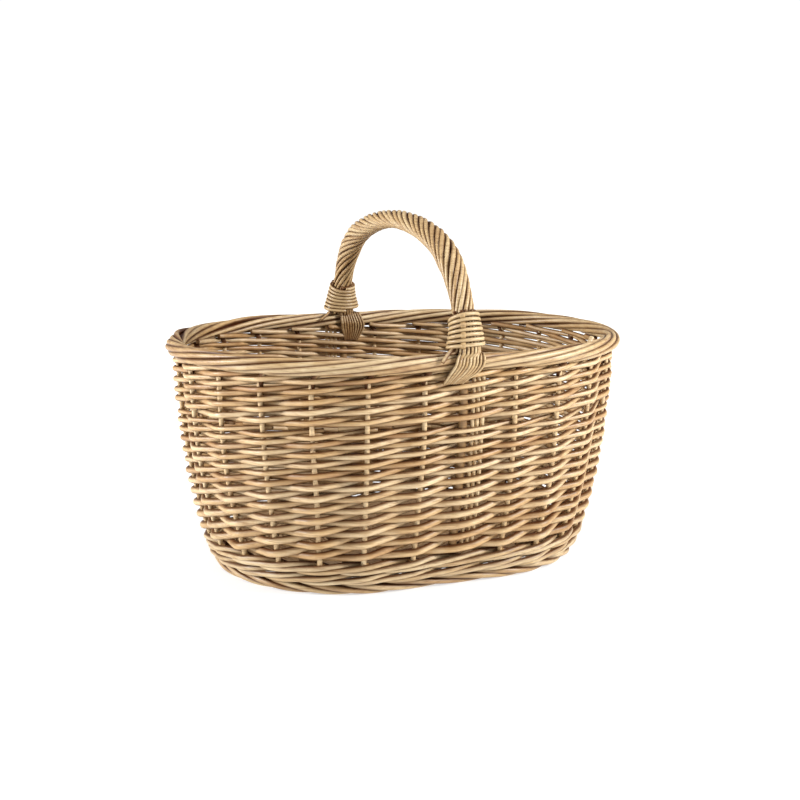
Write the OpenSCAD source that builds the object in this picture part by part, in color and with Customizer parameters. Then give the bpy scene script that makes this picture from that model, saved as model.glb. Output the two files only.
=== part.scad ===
// Oval willow market basket with a fixed, roped cross handle.
// Millimetres, +Z up. The origin is on the floor, under the middle of the basket.
// +X runs along the basket and the handle crosses over from -Y (front) to +Y (back).
// In plan every ring is a stadium: all points at one distance r from a short spine on the X axis.
// A wall section is drawn in (r, z) and carried round that spine.

/* [Plan] */
// Half of the straight stretch between the two round ends
end_x = 55; // [45:1:65]
// Radius of the round ends on the stake line, at the rim
wall_r = 162; // [150:1:175]

/* [Heights] */
// Top of the rim above the floor
rim_h = 225; // [205:1:245]
// Top of the foot border
foot_h = 12; // [10:1:16]
// Top of the upsett, where the siding starts
upsett_h = 33; // [30:1:40]
// Top of the lower block of siding
lower_h = 149; // [130:1:150]
// Top of the thin tips that end the lower block
tips_h = 160; // [156:1:166]

/* [Wall] */
// Lean of the wall from vertical where it leaves the floor
foot_lean = 30; // [26:1:34]
// Lean of the wall from vertical where the siding starts
siding_lean = 16; // [12:1:20]
// Thickness of the woven wall, over the rods on both sides of the stakes
wall_t = 14; // [13:0.5:15]
// Diameter of the stakes
stake_d = 5; // [4:0.5:5]
// Distance between stakes along the straight sides
stake_pitch = 47; // [44:1:49]

/* [Rim] */
// Diameter of the rolled rim border
rim_d = 19; // [17:1:21]

/* [Base] */
// Thickness of the woven base
base_t = 10; // [9.6:0.2:11]
// Diameter of the short sticks across the base
short_stick_d = 8; // [7:0.5:8.5]
// Diameter of the long sticks that pierce them
long_stick_d = 5; // [4:0.5:5]

/* [Handle] */
// Rise of the bow's centre line above the rim's middle
handle_rise = 119; // [116:1:130]
// Radius of the bow's two side arcs
side_arc_r = 110; // [100:1:112]
// Diameter of the bow
bow_d = 12.6; // [12:0.2:13]
// Diameter of the rods roped round the bow
rope_rod_d = 4.2; // [3.8:0.1:4.3]
// Number of rods roped round the bow
rope_rods = 12; // [10:1:12]
// Turns of willow in the binding at each foot of the handle
binding_turns = 7; // [6:1:8]

/* [Hidden] */
$fn = 96;

// Clearance round a stick in the weave that it passes through
fit_gap = 0.1;
// How far a leaf scar stands proud of a rod, where two of its arcs meet
scar_proud = 0.075;
// Length of a leaf scar along a rod of the handle
scar_length = 3;
// How far a bore runs on past the face that it opens in
bore_over = 2;

// Stake line of the wall: two arcs in (r, z) that meet with one tangent at upsett_h
rim_z = rim_h - rim_d / 2;
upper_r = (rim_z - upsett_h) / sin(siding_lean);
lower_r = upsett_h / (sin(foot_lean) - sin(siding_lean));
upper_centre = [wall_r - upper_r, rim_z];
lower_centre = upper_centre + (upper_r - lower_r) * [cos(siding_lean), -sin(siding_lean)];
function wall_at(z) = z >= upsett_h
    ? upper_centre.x + sqrt(upper_r * upper_r - pow(rim_z - z, 2))
    : lower_centre.x + sqrt(lower_r * lower_r - pow(lower_centre.y - z, 2));
siding_top = rim_h - rim_d;
rim_core_r = wall_r + 3;

// Stakes: one at each handle foot is left out, because the bow's leg takes its place
end_stakes = 10;
first_angle = (2 * stake_pitch - end_x) / wall_at(lower_h) * 180 / PI;
angle_step = (180 - 2 * first_angle) / (end_stakes - 1);
end_angles = [for (i = [0 : end_stakes - 1]) -90 + first_angle + i * angle_step];
stake_top = rim_z;

// Base
base_z = foot_h + base_t / 2;
base_edge_r = wall_at(foot_h) - wall_t / 2 - 1.2;
core_r = 26.5;
core_x = 66;
stick_end_r = base_edge_r - 6;
short_stick_x = [-55, -33, -11, 11, 33, 55];
long_stick_y = [-21, -7, 7, 21];
long_stick_end = end_x + stick_end_r - 8;
tail_r = 97;
knuckle_proud = 0.6;

// Foot
foot_rod_d = 14;
foot_r = wall_at(foot_h / 2);
foot_stick_d = 3.5;
foot_stick_shift = 6.5;

// Handle: a three-arc arch in the YZ plane, vertical at its feet
side_arc_y = rim_core_r - side_arc_r;
arch_step = handle_rise - side_arc_r;
arch_drop = (side_arc_y * side_arc_y - arch_step * arch_step) / (2 * arch_step);
top_arc_r = handle_rise + arch_drop;
joint_angle = atan2(arch_drop, side_arc_y);
joint_short = 0.15;
rope_start = 5.9;
rope_pitch_r = bow_d / 2 + rope_rod_d / 2 + fit_gap;
leg_d = 8;
leg_foot_z = 42;
bow_overlap = 3;
liner_d = 4;
liner_x = [9, 14, 19];

// Binding at each foot of the handle
binding_rod_d = 3.7;
binding_pitch = 4.7;
binding_half = 3;
binding_path_r = rope_pitch_r + rope_rod_d / 2 + binding_rod_d / 2 + fit_gap;
binding_start = 7.3;
binding_step = binding_pitch / side_arc_r * 180 / PI;

// Rods laced over the rim below the binding
lacing_rod_d = 4;
lacing_rods = 9;
lacing_pitch = 4.2;
lacing_r = rim_d / 2 + 0.6 + lacing_rod_d / 2;

willow = "#c9a26a";
pale_willow = "#dcbd8a";
deep_willow = "#b08650";

// ---- Carrying a section round the spine ----

module round_ends() {
    for (side = [0, 1])
        mirror([side, 0, 0])
            translate([end_x, 0, 0])
                rotate([0, 0, -90])
                    rotate_extrude(angle = 180)
                        children();
}

module straight_sides() {
    for (side = [0, 1])
        mirror([0, side, 0])
            translate([-end_x, 0, 0])
                rotate([90, 0, 90])
                    mirror([1, 0, 0])
                        linear_extrude(2 * end_x)
                            children();
}

// A closed ring with the section drawn by the children in (r, z)
module stadium_ring() {
    round_ends() children();
    straight_sides() children();
}

module stadium_plate(x, r, z, t) {
    translate([0, 0, z]) {
        translate([-x, -r, 0]) cube([2 * x, 2 * r, t]);
        for (side = [-1, 1])
            translate([side * x, 0, 0]) cylinder(r = r, h = t);
    }
}

// ---- Sections of the wall, in (r, z) ----

module wall_band(centre, radius, z0, z1, half) {
    intersection() {
        translate(centre) difference() {
            circle(radius + half, $fn = 720);
            circle(radius - half, $fn = 720);
        }
        translate([wall_r / 2, z0]) square([wall_r, z1 - z0]);
    }
}

module scar(d) {
    sphere(d = d + 2 * scar_proud, $fn = 48);
}

// A rod that follows one arc of the stake line from z0 to z1
module arc_rod(centre, radius, z0, z1, d) {
    start = asin((z0 - centre.y) / radius);
    stop = asin((z1 - centre.y) / radius);
    rotate([90, 0, 0])
        translate([centre.x, centre.y, 0])
            rotate([0, 0, start])
                rotate_extrude(angle = stop - start, $fn = 720)
                    translate([radius, 0]) circle(d = d, $fn = 24);
}

// ---- Places of the stakes ----

module at_stakes() {
    for (side = [0, 180])
        rotate([0, 0, side]) {
            for (angle = end_angles)
                translate([end_x, 0, 0]) rotate([0, 0, angle]) children();
            for (x = [-stake_pitch, stake_pitch])
                translate([x, 0, 0]) rotate([0, 0, -90]) children();
        }
}

module at_handle_feet() {
    for (turn = [-90, 90])
        rotate([0, 0, turn]) children();
}

// ---- Base ----

module short_stick_bars(d, length) {
    for (x = short_stick_x)
        translate([x, length / 2, base_z]) rotate([90, 0, 0]) cylinder(d = d, h = length);
}

module long_stick_bars(d, length) {
    for (y = long_stick_y)
        translate([-length / 2, y, base_z]) rotate([0, 90, 0]) cylinder(d = d, h = length);
}

module base_long_sticks() {
    color(willow) long_stick_bars(long_stick_d, 2 * long_stick_end);
}

module base_short_sticks() {
    color(willow) difference() {
        short_stick_bars(short_stick_d, 2 * stick_end_r);
        long_stick_bars(long_stick_d + 2 * fit_gap, 2 * (end_x + stick_end_r));
    }
}

module base_openings() {
    short_stick_bars(short_stick_d + 2 * fit_gap, 2 * stick_end_r + 1);
    long_stick_bars(long_stick_d + 2 * fit_gap, 2 * long_stick_end + 1);
}

module base_core_binding() {
    color(deep_willow) difference() {
        stadium_plate(core_x - core_r, core_r, foot_h, base_t);
        base_openings();
    }
}

module base_weave() {
    color(willow) difference() {
        stadium_plate(end_x, base_edge_r, foot_h, base_t);
        stadium_plate(core_x - core_r, core_r + fit_gap, 0, rim_h);
        base_openings();
        at_stakes() stake_tail(stake_d + 2 * fit_gap);
    }
}

// ---- Foot ----

module foot_stick(d) {
    translate([0, foot_stick_shift, 0]) arc_rod(lower_centre, lower_r, foot_h / 2, upsett_h - 2, d);
}

module foot_sticks() {
    color(deep_willow) at_stakes() foot_stick(foot_stick_d);
}

module foot_border() {
    color(pale_willow) difference() {
        stadium_ring() intersection() {
            translate([foot_r, foot_h / 2]) circle(d = foot_rod_d);
            translate([wall_r / 2, 0]) square([wall_r, foot_h]);
        }
        at_stakes() foot_stick(foot_stick_d + 2 * fit_gap);
    }
}

// ---- Upsett ----

module upsett_wale(z0, z1) {
    difference() {
        stadium_ring() wall_band(lower_centre, lower_r, z0, z1, wall_t / 2 + 1);
        at_stakes() {
            arc_rod(lower_centre, lower_r, base_z, z1 + bore_over, stake_d + 2 * fit_gap);
            foot_stick(foot_stick_d + 2 * fit_gap);
            children();
        }
    }
}

module upsett_wale_lower() {
    color(pale_willow) upsett_wale(foot_h, (foot_h + upsett_h) / 2)
        stake_tail(stake_d + 2 * fit_gap);
}

module upsett_wale_upper() {
    color(pale_willow) upsett_wale((foot_h + upsett_h) / 2, upsett_h);
}

// ---- Stakes ----

// The stake's tail lies in the base, and its stem is turned up at the edge
module stake(d) {
    stake_tail(d);
    arc_rod(lower_centre, lower_r, base_z, upsett_h, d);
    translate([wall_at(upsett_h), 0, upsett_h]) scar(d);
    arc_rod(upper_centre, upper_r, upsett_h, stake_top, d);
}

module stake_tail(d) {
    knuckle_r = wall_at(base_z);
    translate([knuckle_r, 0, base_z]) sphere(d = d + knuckle_proud, $fn = 48);
    translate([tail_r, 0, base_z]) rotate([0, 90, 0])
        cylinder(d = d, h = knuckle_r - tail_r, $fn = 48);
}

module side_stakes() {
    color(willow) at_stakes() stake(stake_d);
}

// ---- Siding ----

module siding(z0, z1, half) {
    difference() {
        stadium_ring() wall_band(upper_centre, upper_r, z0, z1, half);
        at_stakes()
            arc_rod(upper_centre, upper_r, z0 - bore_over, z1 + bore_over, stake_d + 2 * fit_gap);
        at_handle_feet() {
            bow_leg(leg_d + 2 * fit_gap);
            liners(liner_d + 2 * fit_gap);
        }
    }
}

module siding_lower() {
    color(willow) siding(upsett_h, lower_h, wall_t / 2);
}

module siding_tips() {
    color(deep_willow) siding(lower_h, tips_h, wall_t / 2 - 1);
}

module siding_upper() {
    color(willow) siding(tips_h, siding_top, wall_t / 2);
}

// ---- Rim ----

module rim_border() {
    color(pale_willow) difference() {
        stadium_ring() translate([rim_core_r, rim_z]) circle(d = rim_d);
        at_stakes()
            arc_rod(upper_centre, upper_r, siding_top - bore_over, stake_top, stake_d + 2 * fit_gap);
        arch_sweep() circle(d = bow_d + 2 * fit_gap);
        at_handle_feet() {
            bow_leg(leg_d + 2 * fit_gap);
            liners(liner_d + 2 * fit_gap);
        }
    }
}

// ---- Handle ----

// Carries a section along the arch: its x is outwards, its y is along the basket.
// short is the angle by which each arc stops short of the joint with the next one.
module arch_sweep(start = 0, short = 0) {
    rotate([90, 0, 90]) {
        for (side = [0, 1])
            mirror([side, 0, 0])
                translate([side_arc_y, rim_z, 0])
                    rotate([0, 0, start])
                        rotate_extrude(angle = joint_angle - start - short, $fn = 180)
                            translate([side_arc_r, 0]) children();
        translate([0, rim_z - arch_drop, 0])
            rotate([0, 0, joint_angle + short])
                rotate_extrude(angle = 180 - 2 * (joint_angle + short), $fn = 360)
                    translate([top_arc_r, 0]) children();
    }
}

// A rod along the arch, out to one side of its centre line, with a leaf scar over each joint
module arch_rod(start, out, along, d) {
    arch_sweep(start, joint_short) translate([out, along]) circle(d = d, $fn = 48);
    joint_r = side_arc_r + out;
    for (side = [0, 1])
        mirror([0, side, 0])
            translate([along,
                       side_arc_y + joint_r * cos(joint_angle),
                       rim_z + joint_r * sin(joint_angle)])
                rotate([joint_angle, 0, 0])
                    cylinder(d = d + 2 * scar_proud, h = scar_length, center = true, $fn = 48);
}

// The slyped foot of the bow, driven down into the weave
module bow_leg(d) {
    arc_rod(upper_centre, upper_r, leg_foot_z, rim_z + bow_overlap, d);
}

module liners(d) {
    for (x = liner_x)
        translate([0, x, 0]) arc_rod(upper_centre, upper_r, leg_foot_z, rim_z, d);
}

module handle_bow() {
    color(deep_willow) {
        arch_rod(0, 0, 0, bow_d);
        at_handle_feet() bow_leg(leg_d);
    }
}

module handle_liners_front() {
    color(willow) rotate([0, 0, -90]) liners(liner_d);
}

module handle_liners_back() {
    color(willow) rotate([0, 0, 90]) liners(liner_d);
}

// The rods are drawn straight along the bow; they start above the rim
module handle_rope_rods() {
    color(pale_willow) for (i = [0 : rope_rods - 1]) {
        turn = (i + 0.5) * 360 / rope_rods;
        arch_rod(rope_start, rope_pitch_r * cos(turn), rope_pitch_r * sin(turn), rope_rod_d);
    }
}

// ---- Bindings and laced ends, drawn for the foot at +Y ----

// Stands a ring across the bow, a given angle up the side arc
module across_bow(angle) {
    rotate([90, 0, 90])
        translate([side_arc_y, rim_z, 0])
            rotate([0, 0, angle])
                translate([side_arc_r, 0, 0])
                    rotate([90, 0, 0])
                        children();
}

module binding_ring() {
    for (side = [0, 1])
        mirror([0, side, 0]) {
            translate([0, binding_half, 0])
                rotate_extrude(angle = 180)
                    translate([binding_path_r, 0]) circle(d = binding_rod_d, $fn = 24);
            translate([binding_path_r, 0, 0]) rotate([-90, 0, 0])
                cylinder(d = binding_rod_d, h = binding_half, $fn = 24);
            translate([-binding_path_r, 0, 0]) rotate([-90, 0, 0])
                cylinder(d = binding_rod_d, h = binding_half, $fn = 24);
        }
}

module binding() {
    for (i = [0 : binding_turns - 1])
        across_bow(binding_start + i * binding_step) binding_ring();
}

module handle_binding_front() {
    color(pale_willow) mirror([0, 1, 0]) binding();
}

module handle_binding_back() {
    color(pale_willow) binding();
}

// A flat strip up the outside of the binding
module listing() {
    strip_r = side_arc_r + binding_path_r + binding_rod_d / 2 + fit_gap;
    rotate([90, 0, 90])
        translate([side_arc_y, rim_z, 0])
            rotate([0, 0, binding_start - 1])
                rotate_extrude(angle = binding_turns * binding_step, $fn = 360)
                    translate([strip_r, -2.5]) square([1.2, 5]);
}

module handle_listing_front() {
    color(willow) mirror([0, 1, 0]) listing();
}

module handle_listing_back() {
    color(willow) listing();
}

// Rods bent round the rim border, from angle a to angle b of its section
module lacing(a, b) {
    for (i = [0 : lacing_rods - 1])
        translate([(i - (lacing_rods - 1) / 2) * lacing_pitch, rim_core_r, rim_z])
            rotate([90, 0, 90])
                rotate([0, 0, a])
                    rotate_extrude(angle = b - a)
                        translate([lacing_r, 0]) circle(d = lacing_rod_d, $fn = 24);
}

module lacing_front_outer() {
    color(willow) mirror([0, 1, 0]) lacing(-42, 48);
}

module lacing_front_inner() {
    color(willow) mirror([0, 1, 0]) lacing(142, 222);
}

module lacing_back_outer() {
    color(willow) lacing(-42, 48);
}

module lacing_back_inner() {
    color(willow) lacing(142, 222);
}

base_long_sticks();
base_short_sticks();
base_core_binding();
base_weave();
foot_sticks();
foot_border();
upsett_wale_lower();
upsett_wale_upper();
side_stakes();
siding_lower();
siding_tips();
siding_upper();
rim_border();
handle_bow();
handle_liners_front();
handle_liners_back();
handle_rope_rods();
handle_binding_front();
handle_binding_back();
handle_listing_front();
handle_listing_back();
lacing_front_outer();
lacing_front_inner();
lacing_back_outer();
lacing_back_inner();
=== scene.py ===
import math

import bpy
import numpy as np
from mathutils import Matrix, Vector


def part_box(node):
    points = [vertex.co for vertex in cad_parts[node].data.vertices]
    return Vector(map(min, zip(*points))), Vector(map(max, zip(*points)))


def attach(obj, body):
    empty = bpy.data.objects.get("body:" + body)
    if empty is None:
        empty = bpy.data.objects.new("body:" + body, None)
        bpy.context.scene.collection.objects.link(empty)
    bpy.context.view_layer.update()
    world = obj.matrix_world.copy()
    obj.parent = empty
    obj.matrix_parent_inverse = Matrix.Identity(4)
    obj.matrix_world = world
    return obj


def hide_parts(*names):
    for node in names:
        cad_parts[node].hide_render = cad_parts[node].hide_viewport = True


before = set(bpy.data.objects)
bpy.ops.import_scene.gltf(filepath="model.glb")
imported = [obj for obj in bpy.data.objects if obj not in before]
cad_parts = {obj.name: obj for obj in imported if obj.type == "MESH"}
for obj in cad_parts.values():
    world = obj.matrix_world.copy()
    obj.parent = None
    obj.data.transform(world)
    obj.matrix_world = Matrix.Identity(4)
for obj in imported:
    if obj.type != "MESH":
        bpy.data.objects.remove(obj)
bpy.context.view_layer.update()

MM = 0.001

# ---- Driving sizes, from the CAD nodes ----

RIM_LOW, RIM_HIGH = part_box("rim_border")
RIM_D = RIM_HIGH.z - RIM_LOW.z
RIM_Z = RIM_HIGH.z - RIM_D / 2
RIM_R = RIM_HIGH.y - RIM_D / 2
END_X = RIM_HIGH.x - RIM_HIGH.y
FOOT_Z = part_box("foot_border")[1].z
UPSETT_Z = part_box("upsett_wale_upper")[1].z
LOWER_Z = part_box("siding_lower")[1].z
TIPS_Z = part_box("siding_tips")[1].z
SIDING_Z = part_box("siding_upper")[1].z
STAKE_D = 5 * MM
WALL_R = RIM_R - 3 * MM

# The first course beds into the top of the wale, and the last one is pressed up under the rim
SIDING_START = UPSETT_Z - 1.5 * MM
SIDING_TOP = SIDING_Z + 4.5 * MM

# The stake line leans out at the foot, straightens at the upsett and is upright at the rim
FOOT_LEAN = math.radians(30)
SIDING_LEAN = math.radians(16)
UPPER_RADIUS = (RIM_Z - UPSETT_Z) / math.sin(SIDING_LEAN)
LOWER_RADIUS = UPSETT_Z / (math.sin(FOOT_LEAN) - math.sin(SIDING_LEAN))
UPPER_CENTRE = (WALL_R - UPPER_RADIUS, RIM_Z)
LOWER_CENTRE = (
    UPPER_CENTRE[0] + (UPPER_RADIUS - LOWER_RADIUS) * math.cos(SIDING_LEAN),
    UPPER_CENTRE[1] - (UPPER_RADIUS - LOWER_RADIUS) * math.sin(SIDING_LEAN),
)


def wall_point(z, out=0.0):
    """Distance from the spine, and height, of points a distance out from the stake line at height z."""
    z = np.asarray(z, float)
    upper = z >= UPSETT_Z
    centre_r = np.where(upper, UPPER_CENTRE[0], LOWER_CENTRE[0])
    centre_z = np.where(upper, UPPER_CENTRE[1], LOWER_CENTRE[1])
    radius = np.where(upper, UPPER_RADIUS, LOWER_RADIUS)
    reach = np.sqrt(radius**2 - (z - centre_z) ** 2)
    return centre_r + reach * (1 + out / radius), z + (z - centre_z) * out / radius


# ---- The plan: stations round the stadium ----

STAKE_PITCH = 47 * MM
END_STAKES = 10
PLAN_R = float(wall_point(LOWER_Z)[0])
HALF_TURN = math.pi * PLAN_R
HALF_RING = 2 * END_X + HALF_TURN
LAST_SIDE = 2 * STAKE_PITCH
end_run = np.linspace(LAST_SIDE, HALF_RING - LAST_SIDE, END_STAKES)
half_stations = np.concatenate(([0, STAKE_PITCH], end_run, [HALF_RING - STAKE_PITCH]))
STATION_RUN = np.concatenate((half_stations, half_stations + HALF_RING, [2 * HALF_RING]))
STATIONS = len(STATION_RUN) - 1
FRONT_FOOT = 0
BACK_FOOT = STATIONS // 2

# The stakes stand a little to the right of their even places, most of all those just left of the bow's feet
STAKE_DRIFT = np.full(STATIONS, 0.09)
STAKE_DRIFT[[BACK_FOOT - 1, STATIONS - 1]] = 0.19
STAKE_DRIFT[[FRONT_FOOT, BACK_FOOT]] = 0


def stake_place(station):
    return station + STAKE_DRIFT[np.mod(station, STATIONS)]


def ring_point(u, r, z):
    """Points at station u, distance r from the spine and height z."""
    u, r, z = np.broadcast_arrays(np.asarray(u, float), r, z)
    run = np.interp(np.mod(u, STATIONS), np.arange(STATIONS + 1), STATION_RUN)
    half = np.floor(run / HALF_RING)
    run = run - half * HALF_RING
    spine_x = np.clip(run, 0, END_X) - np.clip(run - END_X - HALF_TURN, 0, END_X)
    angle = np.clip(run - END_X, 0, HALF_TURN) / PLAN_R - math.pi / 2
    side = 1 - 2 * np.mod(half, 2)
    return np.stack((side * (spine_x + r * np.cos(angle)), side * r * np.sin(angle), z), axis=-1)


def wall_rod_points(u, z, out):
    r, height = wall_point(z, out)
    return ring_point(u, r, height)


def unit(vectors):
    return vectors / np.linalg.norm(vectors, axis=-1, keepdims=True)


def wall_normals(u, z):
    return unit(wall_rod_points(u, z, 1 * MM) - wall_rod_points(u, z, 0))


# ---- Small curve tools ----


def smooth_step(t):
    t = np.clip(t, 0, 1)
    return t * t * (3 - 2 * t)


def wander(rng, t, size, waves=3, pitch=5.0):
    """A slow random wander, so that no rod is a perfect curve."""
    total = np.zeros_like(t)
    for k in range(waves):
        phase = rng.uniform(0, 2 * math.pi)
        total += np.sin(t * (k + 1) * 2 * math.pi / pitch + phase) / (k + 1)
    return total * size / waves


def spline(points, per_span=8):
    """A Catmull-Rom curve through the points."""
    p = np.asarray(points, float)
    p = np.vstack((2 * p[0] - p[1], p, 2 * p[-1] - p[-2]))
    t = np.linspace(0, 1, per_span, endpoint=False)[:, None]
    spans = []
    for a, b, c, d in zip(p[:-3], p[1:-2], p[2:-1], p[3:]):
        spans.append(0.5 * (2 * b + (c - a) * t + (2 * a - 5 * b + 4 * c - d) * t**2
                            + (3 * b - a - 3 * c + d) * t**3))
    return np.vstack(spans + [p[-2][None, :]])


# A corner is rounded over this length of each leg, or this share of it on a short leg
BEND_LENGTH = 9 * MM
BEND_SHARE = 0.4
BEND_STEPS = 5


def bent(rows):
    """Straight runs through the rows, whose first three columns are a place, with every corner rounded."""
    made = [rows[0]]
    for before, corner, after in zip(rows[:-2], rows[1:-1], rows[2:]):
        back, ahead = (
            corner + (end - corner) * min(BEND_SHARE, BEND_LENGTH / np.linalg.norm(end[:3] - corner[:3]))
            for end in (before, after)
        )
        last = made[-1]
        made += [last + (back - last) / 3, last + (back - last) * 2 / 3]
        for t in np.linspace(0, 1, BEND_STEPS):
            made.append((1 - t) ** 2 * back + 2 * t * (1 - t) * corner + t * t * ahead)
    made.append(rows[-1])
    return np.array(made)


# ---- Rods: tubes gathered into one mesh per sub-part ----

# A rod's flanks get painted shade as its surface turns away from its crown, by the cosine between the two
FLANK_FROM, FLANK_TO = 0.33, 1.0
FLANK_DEPTH = 0.92
TIP_BEVEL = 0.18
SCAR_LENGTH = 3.5 * MM
SCAR_HEIGHTS = (0.02, 0.08)
SCAR_GAPS = (35 * MM, 85 * MM)
FIRST_SCAR = 60 * MM


class Sheaf:
    """The rods of one sub-part."""

    def __init__(self, name, seed):
        self.name = name
        self.rng = np.random.default_rng(seed)
        self.verts, self.faces, self.flat_faces = [], [], []
        self.grain, self.tone, self.painted_shade = [], [], []
        self.count = 0

    def rod(self, path, diameter, crown=None, two_sided=False, painted_shade=0.0, sides=12, flat=1.0, tone=None,
            scars=True, flat_normal=None):
        """A rod along the path. crown points away from the heap that it lies in: the rod's flanks get painted
        shade, and so does its back unless it is two_sided. The painted shade that it is given darkens its
        whole run, and flat squashes its section along flat_normal."""
        path = np.asarray(path, float)
        n = len(path)
        radius = np.broadcast_to(np.asarray(diameter, float) / 2, n).copy()
        run = np.concatenate(([0], np.cumsum(np.linalg.norm(np.diff(path, axis=0), axis=1))))
        if scars:
            radius *= 1 + self.leaf_scars(run)
        first, second = self.section_axes(path, flat_normal)
        turn = np.linspace(0, 2 * math.pi, sides, endpoint=False)[None, :, None]
        outward = np.cos(turn) * first[:, None, :]
        away = outward + np.sin(turn) * second[:, None, :]
        ring = away + (flat - 1) * outward
        painted_shade = np.broadcast_to(np.broadcast_to(painted_shade, n)[:, None], (n, sides))
        # Painted shade on the flanks, where the neighbouring rods would shade them
        if crown is not None:
            facing = (away * np.broadcast_to(crown, path.shape)[:, None, :]).sum(-1)
            facing = np.abs(facing) if two_sided else facing
            flank = 1 - smooth_step((facing - FLANK_FROM) / (FLANK_TO - FLANK_FROM))
            painted_shade = 1 - (1 - np.clip(painted_shade, 0, 1)) * (1 - FLANK_DEPTH * flank)
        tangent = unit(np.gradient(path, axis=0))
        body = path[:, None, :] + ring * radius[:, None, None]
        tips = []
        for i, sign in ((0, -1), (n - 1, 1)):
            centre = path[i] + sign * tangent[i] * radius[i] * TIP_BEVEL
            tips.append(centre + ring[i] * radius[i] * (1 - TIP_BEVEL))
        rings = np.concatenate(([tips[0]], body, [tips[1]]))
        self.add(rings, run, np.concatenate((painted_shade[:1], painted_shade, painted_shade[-1:])), tone)

    def leaf_scars(self, run):
        """The swelling at each leaf scar, as a share of the rod's radius."""
        bumps = np.zeros_like(run)
        place = self.rng.uniform(0, FIRST_SCAR)
        while place < run[-1]:
            height = self.rng.uniform(*SCAR_HEIGHTS)
            bumps += height * np.exp(-(((run - place) / SCAR_LENGTH) ** 2))
            place += self.rng.uniform(*SCAR_GAPS)
        return bumps

    def section_axes(self, path, flat_normal):
        """Two directions across the rod at each point, which turn as little as they can along it."""
        tangent = unit(np.gradient(path, axis=0))
        if flat_normal is not None:
            first = np.broadcast_to(np.asarray(flat_normal, float), path.shape)
            first = unit(first - (first * tangent).sum(1)[:, None] * tangent)
            return first, np.cross(tangent, first)
        first = np.empty_like(path)
        axis = np.array([0.0, 0.0, 1.0]) if abs(tangent[0][2]) < 0.8 else np.array([1.0, 0.0, 0.0])
        for i, t in enumerate(tangent):
            axis = axis - t * (axis @ t)
            axis = axis / math.sqrt(axis @ axis)
            first[i] = axis
        return first, np.cross(tangent, first)

    def add(self, rings, run, painted_shade, tone):
        """Adds a tube of rings, with its surface values: the first and the last ring are the ends' bevels."""
        count, sides = rings.shape[:2]
        index = self.count + np.arange(count * sides).reshape(count, sides)
        after = np.roll(index, -1, axis=1)
        quads = np.stack((index[:-1], after[:-1], after[1:], index[1:]), axis=-1)
        self.faces.extend(quads.reshape(-1, 4).tolist())
        self.flat_faces.append(index[0][::-1].tolist())
        self.flat_faces.append(index[-1].tolist())
        self.verts.append(rings.reshape(-1, 3))
        self.count += count * sides
        along = np.concatenate(([run[0]], run, [run[-1]])) + self.rng.uniform(0, 5)
        tone = self.rng.uniform() if tone is None else tone
        self.grain.append(np.repeat(along, sides))
        self.tone.append(np.full(count * sides, tone))
        self.painted_shade.append(painted_shade.reshape(-1))

    def make(self, material, slot, *nodes):
        """Makes the piece, in place of the CAD nodes."""
        mesh = bpy.data.meshes.new(self.name)
        mesh.from_pydata(np.vstack(self.verts).tolist(), [], self.faces + self.flat_faces)
        smooth = np.ones(len(mesh.polygons), bool)
        smooth[len(self.faces):] = False
        mesh.polygons.foreach_set("use_smooth", smooth)
        for name, lists in (("grain", self.grain), ("tone", self.tone), ("painted_shade", self.painted_shade)):
            layer = mesh.attributes.new(name, "FLOAT", "POINT")
            layer.data.foreach_set("value", np.concatenate(lists).astype(np.float32))
        mesh.materials.append(material)
        mesh.validate()
        piece = bpy.data.objects.new(self.name, mesh)
        bpy.context.scene.collection.objects.link(piece)
        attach(piece, "root")
        if nodes:
            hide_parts(*nodes)
        return piece


# ---- Willow ----


def ramp_colours(ramp, stops):
    while len(ramp.elements) < len(stops):
        ramp.elements.new(0.5)
    for element, (place, colour) in zip(ramp.elements, stops):
        element.position = place
        element.color = (*colour, 1)


class Nodes:
    """Shorthand for building one material's nodes."""

    def __init__(self, material):
        material.use_nodes = True
        self.tree = material.node_tree
        self.shader = self.tree.nodes["Principled BSDF"]

    def new(self, kind, **settings):
        node = self.tree.nodes.new("ShaderNode" + kind)
        for key, value in settings.items():
            setattr(node, key, value)
        return node

    def link(self, source, target):
        self.tree.links.new(source, target)

    def attribute(self, name):
        return self.new("Attribute", attribute_name=name).outputs["Fac"]

    def maths(self, operation, a, b):
        node = self.new("Math", operation=operation)
        for socket, value in zip(node.inputs, (a, b)):
            if isinstance(value, (int, float)):
                socket.default_value = value
            else:
                self.link(value, socket)
        return node.outputs[0]

    def mix(self, blend, amount, a, b):
        node = self.new("Mix", data_type="RGBA", blend_type=blend)
        for socket, value in ((node.inputs[0], amount), (node.inputs[6], a), (node.inputs[7], b)):
            if isinstance(value, (int, float)):
                socket.default_value = value
            elif isinstance(value, tuple):
                socket.default_value = (*value, 1)
            else:
                self.link(value, socket)
        return node.outputs[2]

    def noise(self, vector, scale, detail=2.0, rough=0.5):
        node = self.new("TexNoise")
        node.inputs["Scale"].default_value = scale
        node.inputs["Detail"].default_value = detail
        node.inputs["Roughness"].default_value = rough
        self.link(vector, node.inputs["Vector"])
        return node.outputs["Fac"]

    def ramp(self, value, stops):
        node = self.new("ValToRGB")
        ramp_colours(node.color_ramp, stops)
        self.link(value, node.inputs["Fac"])
        return node.outputs["Color"]


# Painted shade: the colour that the shade mask multiplies towards, and the sheen left where the mask is full
PAINTED_SHADE_TINT = (0.14, 0.047, 0.016)
SHEEN = 0.7
PAINTED_SHADE_SHEEN = 0.1
STREAK_TONES = ((0.30, (0.55, 0.42, 0.32)), (0.50, (1.0, 1.0, 1.0)), (0.72, (1.2, 1.22, 1.25)))
SPECK_TONES = ((0.68, (1.0, 1.0, 1.0)), (0.76, (0.45, 0.28, 0.16)))


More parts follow.
